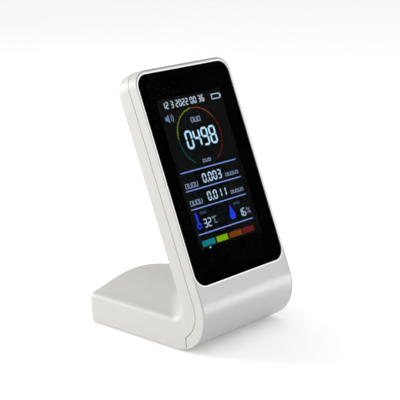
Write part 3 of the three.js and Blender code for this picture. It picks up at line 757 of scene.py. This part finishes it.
def build_gauge():
    """Dotted dial in four colours, from lower left over the top to lower right."""
    x, up, radius, dots = -0.4, 91.3, 17.0, 54
    start, sweep = math.radians(234), math.radians(-290)
    bands = (
        ("gauge_low", 0, 11, (26, 150, 145)), ("gauge_good", 11, 26, (220, 255, 20)),
        ("gauge_warm", 26, 37, (250, 110, 24)), ("gauge_high", 37, dots, (196, 56, 40)),
    )
    for name, first, last, color in bands:
        shapes = []
        for i in range(first, last):
            a = start + sweep * i / (dots - 1)
            shapes.append(disc_shape(x + radius * math.cos(a), up + radius * math.sin(a), 0.27, 8))
        graphic(name, shapes, color)


def build_readings():
    graphic("display_main", number("0498", -12.1, 85.1, 5.4, 10.9, 1.25, 6.4), PALE_BLUE)
    small = number("0.003", -8.2, 64.6, 3.0, 5.5, 0.75, 3.75)
    small += number("0.011", -8.4, 53.9, 3.0, 5.5, 0.75, 3.75)
    small += number("32", -17.3, 39.9, 2.7, 5.1, 0.5, 3.4) + number("16", 11.5, 39.6, 2.7, 4.8, 0.5, 3.2)
    graphic("display_values", small, (196, 226, 250), 0.95)
    captions = dashes(-3.9, 99.9, 7.8, 3.0, 3, 0.45) + dashes(-4.0, 76.0, 6.8, 1.9, 3, 0.4)
    captions += dashes(-22.8, 63.8, 10.3, 2.9, 4, 0.42) + dashes(-23.0, 53.8, 10.0, 2.9, 4, 0.42)
    captions += dashes(10.3, 64.8, 10.8, 2.0, 5, 0.34) + dashes(10.3, 54.2, 10.8, 2.0, 5, 0.34)
    graphic("display_captions", captions, (150, 170, 205), 0.8)
    faint = dashes(-17.9, 47.9, 5.2, 1.4, 4, 0.3) + dashes(9.4, 47.6, 5.6, 1.4, 4, 0.3)
    graphic("display_notes", faint, (70, 90, 120), 0.8)
    units = ring_shapes(-9.5, 44.5, 0.5, 0.35, steps=12)
    units += [box_shape(-8.6, 40.9, -8.2, 44.9), box_shape(-8.6, 40.9, -6.6, 41.3)]
    units.append(box_shape(-8.6, 44.5, -6.6, 44.9))
    units += ring_shapes(19.0, 43.3, 0.5, 0.3, steps=12) + ring_shapes(20.9, 41.1, 0.5, 0.3, steps=12)
    units.append(bar(18.7, 40.5, 21.2, 43.9, 0.3))
    graphic("display_units", units, (150, 170, 205), 0.8)


def build_rules():
    shapes = [box_shape(-23.5, up - 0.28, 21.7, up + 0.28) for up in (73.1, 62.4, 51.7, 37.1)]
    graphic("display_rules", shapes, SOFT_BLUE)


def build_icons():
    shapes = [box_shape(-21.9, 43.2, -20.5, 49.0)] + [arc(-21.2, 49.0, 0.7, 0, math.pi, 8)]
    shapes += ring_shapes(-21.0, 41.8, 1.45, 0.9)
    drop_outline = [(6.3, 48.6)] + arc(6.5, 42.1, 2.35, math.radians(30), math.radians(-210), 20)
    graphic("display_icons", shapes + [drop_outline], DEEP_BLUE)


def build_scale():
    low, high = 29.9, 33.2
    blocks = ((-22.8, -12.6, TEAL), (-11.2, -2.1, LIME), (-0.6, 9.6, ORANGE), (10.6, 20.2, DARK_RED))
    for i, (left, right, color) in enumerate(blocks):
        graphic(f"scale_block_{i + 1}", [box_shape(left, low, right, high)], color)
    graphic("scale_marker", [disc_shape(-17.6, 28.6, 0.5, 12)], (235, 240, 245))


# ---- Small exterior parts ------------------------------------------------------------------------
def build_buttons():
    marks = (
        ring_shapes(0, 0, 1.0, 0.28, math.radians(120), math.radians(300), 20)
        + [box_shape(-0.14, 0, 0.14, 1.3)],
        [[(-1.0, -0.7), (1.0, -0.7), (0, 1.0)]],
        [[(-1.0, 0.7), (0, -1.0), (1.0, 0.7)]],
    )
    r, face = BUTTON_RADIUS, THICKNESS + BUTTON_PROUD
    for i, shapes in enumerate(marks):
        x = (i - 1) * BUTTON_ACROSS
        profile = [(0, INNER_BACK - 0.95), (1.5, INNER_BACK - 0.95), (1.5, INNER_BACK - 0.7)]
        profile += [(r + 1, INNER_BACK - 0.7), (r + 1, INNER_BACK - 0.2), (r, INNER_BACK - 0.2)]
        for a in np.linspace(0, 1.45, 7):
            profile.append((r - 0.5 + 0.5 * math.cos(a), face - 0.65 + 0.5 * math.sin(a)))
        profile += [(r * 0.6, face - 0.06), (r * 0.3, face - 0.01), (0, face)]
        cap = lathe(f"button_cap_{i + 1}", profile, panel_frame(x, BUTTON_UP, 0))
        finished(cap, WHITE, f"push_{i + 1}", [f"button_{i + 1}"])
        points, faces = [], []
        for shape in shapes:
            start, size = len(points), len(shape)
            for depth in (face - 0.12, face + 0.03):
                points += [on_panel(x - sx, BUTTON_UP + sy, depth) for sx, sy in shape]
            faces.append(tuple(range(start, start + size)))
            faces.append(tuple(range(start + size, start + 2 * size)))
            faces += loop_faces(2, size, offset=start)
        mark = new_object(f"button_mark_{i + 1}", to_row(points), faces)
        finished(mark, PRINT, f"push_{i + 1}", angle=0)


def screw(name, matrix, head, height, shank, length, node):
    """Pan-head screw with a cross recess; local Z points out of the head."""
    profile = [(0, -length), (shank * 0.5, -length + 0.2), (shank, -length + 0.9), (shank, 0), (head, 0)]
    profile += [(head - 0.1 * i * i, height * (0.35 + 0.13 * i)) for i in range(1, 4)]
    profile += [(head * 0.5, height), (0, height)]
    obj = lathe(name, profile, matrix, 40)
    cuts = []
    for turn in (0, TAU / 4):
        half, wide = head * 0.62, head * 0.14
        corners = []
        for z, shrink in ((height * 0.3, 0.6), (height + 0.5, 1.1)):
            for sx, sy in ((-1, -1), (1, -1), (1, 1), (-1, 1)):
                point = Vector((sx * half * shrink, sy * wide, z)) * MM
                corners.append(matrix @ (Matrix.Rotation(turn, 4, "Z") @ point))
        faces = loop_faces(2, 4) + [(0, 1, 2, 3), (4, 5, 6, 7)]
        cuts.append(new_object("cross", corners, faces))
    cut(obj, cuts)
    finished(obj, STEEL, replaced=[node])


def build_fasteners():
    for i, side in enumerate((-1, 1)):
        matrix = panel_frame(side * SCREW_ACROSS, SCREW_UP, SCREW_DEPTH)
        screw(f"case_screw_fine_{i + 1}", matrix, 2.5, 1.2, 1.1, 8, f"case_screw_{i + 1}")
    for i in range(4):
        low, high = node_box(f"base_screw_{i + 1}")
        middle = (low + high) / 2
        place = flat_frame(middle[0], middle[1] - Y_ORIGIN, low[2] - Z_ORIGIN + 0.9)
        screw(f"base_screw_fine_{i + 1}", place, 2.4, 0.9, 1, 7, f"base_screw_{i + 1}")


def build_pads():
    for i in range(4):
        low, high = node_box(f"foot_pad_{i + 1}")
        middle, r, deep = (low + high) / 2, (high[0] - low[0]) / 2, high[2] - low[2]
        profile = [(0, 0), (r, 0), (r, deep - 0.5), (r - 0.15, deep - 0.18), (r - 0.5, deep)]
        profile += [(r - 1.2, deep), (r - 1.4, deep - 0.2), (0, deep - 0.2)]
        place = flat_frame(middle[0], middle[1] - Y_ORIGIN, high[2] - Z_ORIGIN)
        pad = lathe(f"foot_pad_fine_{i + 1}", profile, place)
        finished(pad, RUBBER, replaced=[f"foot_pad_{i + 1}"])


def build_socket():
    rear = FOOT_REAR - 1
    front = rear - USB_DEPTH
    low, high = USB_FLOOR, USB_FLOOR + USB_HEIGHT

    def loop(grow, y):
        return [(x, y, z) for x, z in rounded_rect(USB_HALF, low, high, 1.55, 8, grow)]
    steps = (
        (0, front), (0, rear - 0.1), (-0.08, rear), (-0.27, rear), (-0.35, rear - 0.1), (-0.35, front + 1.2))
    loops = [loop(grow, y) for grow, y in steps]
    can = body("usb_socket_can", loops)
    finished(can, STEEL, replaced=["usb_socket"])
    middle = (low + high) / 2
    tongue = []
    for grow, y in ((0, front + 1.1), (0, rear - 1), (-0.12, rear - 0.8)):
        section_points = rounded_rect(3.3, middle - 0.35, middle + 0.35, 0.2, 4, grow)
        tongue.append([(x, y, z) for x, z in section_points])
    finished(body("usb_socket_tongue", tongue), DARK)


def paint_frame_nodes():
    """Materials of the CAD nodes that stay."""
    by_slot = {
        "shell_white": WHITE, "lcd_dark": DISPLAY, "diffuser": DIFFUSER, "dark_plastic": DARK,
        "polyimide": AMBER,
        "board_green": GREEN, "sensor_gold": GOLD, "steel": STEEL, "mesh_dark": dust_mesh(),
        "battery_foil": FOIL, "lead_jacket": JACKET, "rubber_grey": RUBBER, "cover_silver": SILVER,
        "lens_clear": DISPLAY, "mask_black": INK,
    }
    slots = {part["node"]: part["material_slot"] for part in frame["record"]["subparts"]}
    for name, obj in frame["nodes"].items():
        for piece in obj.material_slots:
            piece.material = by_slot[slots[name]]


# ---- Stage ---------------------------------------------------------------------------------------
def build_camera():
    data = bpy.data.cameras.new("camera")
    data.lens, data.sensor_width = 106.4, 36
    data.clip_start, data.clip_end = 0.05, 50
    camera = bpy.data.objects.new("camera", data)
    bpy.context.collection.objects.link(camera)
    place = Vector((-0.4718, -0.4893, 0.2530))
    target = Vector((-0.0019, -0.0148, 0.0793))
    roll = math.radians(-2.67)
    look = (target - place).to_track_quat("-Z", "Y")
    camera.rotation_mode = "QUATERNION"
    camera.rotation_quaternion = look @ Matrix.Rotation(roll, 4, "Z").to_quaternion()
    camera.location = place
    bpy.context.scene.camera = camera


def area_light(name, place, target, size, power, spread=180):
    data = bpy.data.lights.new(name, "AREA")
    data.shape, data.size, data.size_y = "RECTANGLE", size[0], size[1]
    data.energy, data.spread = power, math.radians(spread)
    light = bpy.data.objects.new(name, data)
    bpy.context.collection.objects.link(light)
    light.location = place
    aim = Vector(target) - Vector(place)
    light.rotation_mode = "QUATERNION"
    light.rotation_quaternion = aim.to_track_quat("-Z", "Y")


def build_stage():
    floor = new_object("floor", [(-6, -6, 0), (6, -6, 0), (6, 6, 0), (-6, 6, 0)], [(0, 1, 2, 3)])
    paper = moulded(
        "floor_paper", (0.93, 0.93, 0.93), 200, (0.8, 0.9), bump=0.0, spread=0.005,
        Emission_Color=(1, 1, 1, 1), Emission_Strength=0.15)
    floor.data.materials.append(paper)
    world = bpy.data.worlds.new("world")
    bpy.context.scene.world = world
    world.use_nodes = True
    background = world.node_tree.nodes["Background"]
    background.inputs["Color"].default_value = (1, 1, 1, 1)
    background.inputs["Strength"].default_value = 0.82
    area_light("back_left", (-0.6, 1.15, 0.36), (0, 0, 0.03), (0.5, 0.5), 11)
    area_light("left", (-1.2, -0.4, 0.5), (0, 0, 0.07), (0.8, 0.8), 1.4)
    area_light("front", (0.5, -1.3, 0.8), (0, 0, 0.07), (0.9, 0.5), 3)
    area_light("low_right", (0.88, -0.95, 0.09), (0, -0.04, 0.04), (0.9, 0.16), 0.45)
    area_light("table", (0.26, -0.33, 0.4), (0.26, -0.33, 0), (0.3, 0.3), 0.6, 60)
    bpy.context.scene.view_settings.view_transform = "Standard"


build_camera()
build_stage()
paint_frame_nodes()
build_rear_shell()
build_front_shell()
build_front_cover()
build_rim()
build_lens()
build_header()
build_gauge()
build_readings()
build_rules()
build_icons()
build_scale()
build_buttons()
build_fasteners()
build_pads()
build_socket()
